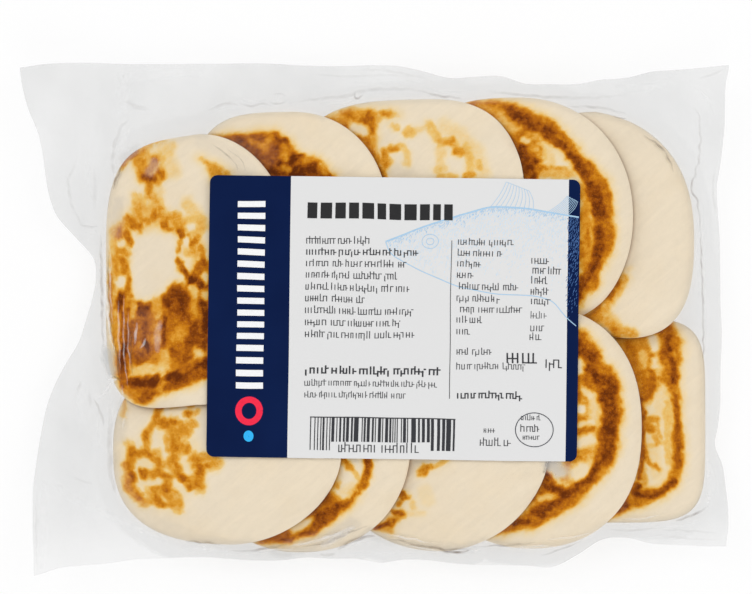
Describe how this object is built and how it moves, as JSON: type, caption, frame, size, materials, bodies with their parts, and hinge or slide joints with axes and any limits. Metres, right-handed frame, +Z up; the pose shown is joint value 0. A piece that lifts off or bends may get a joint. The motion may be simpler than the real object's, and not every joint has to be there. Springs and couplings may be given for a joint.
{
  "type": "vacuum pack of fish cakes",
  "caption": "Clear flat vacuum pack of round fried fish cakes, overlapped in two rows, with a large paper label on top and wavy sealed film edges.",
  "frame": {"origin": "on the surface the pack rests on, under the middle of its outline", "axes": "+X along the pack's length, to the right of the label's print; +Y across it, to the top of the label's print; +Z up out of the label"},
  "size_m": [0.2467, 0.1785, 0.0223],
  "materials": {
    "cakes_in_film": "cream and golden fried cakes seen through clear glossy film",
    "label_paper": "smooth coated paper, dark blue band and pale print",
    "fish_cake": "moist fried surface, cream with golden to dark brown patches",
    "film": "clear glossy film, slightly hazy where two layers are sealed",
    "label_print": "dark blue, black and pale blue print"
  },
  "bodies": {
    "root": {"bag": "cakes_in_film", "label": "label_paper"}
  },
  "joints": []
}
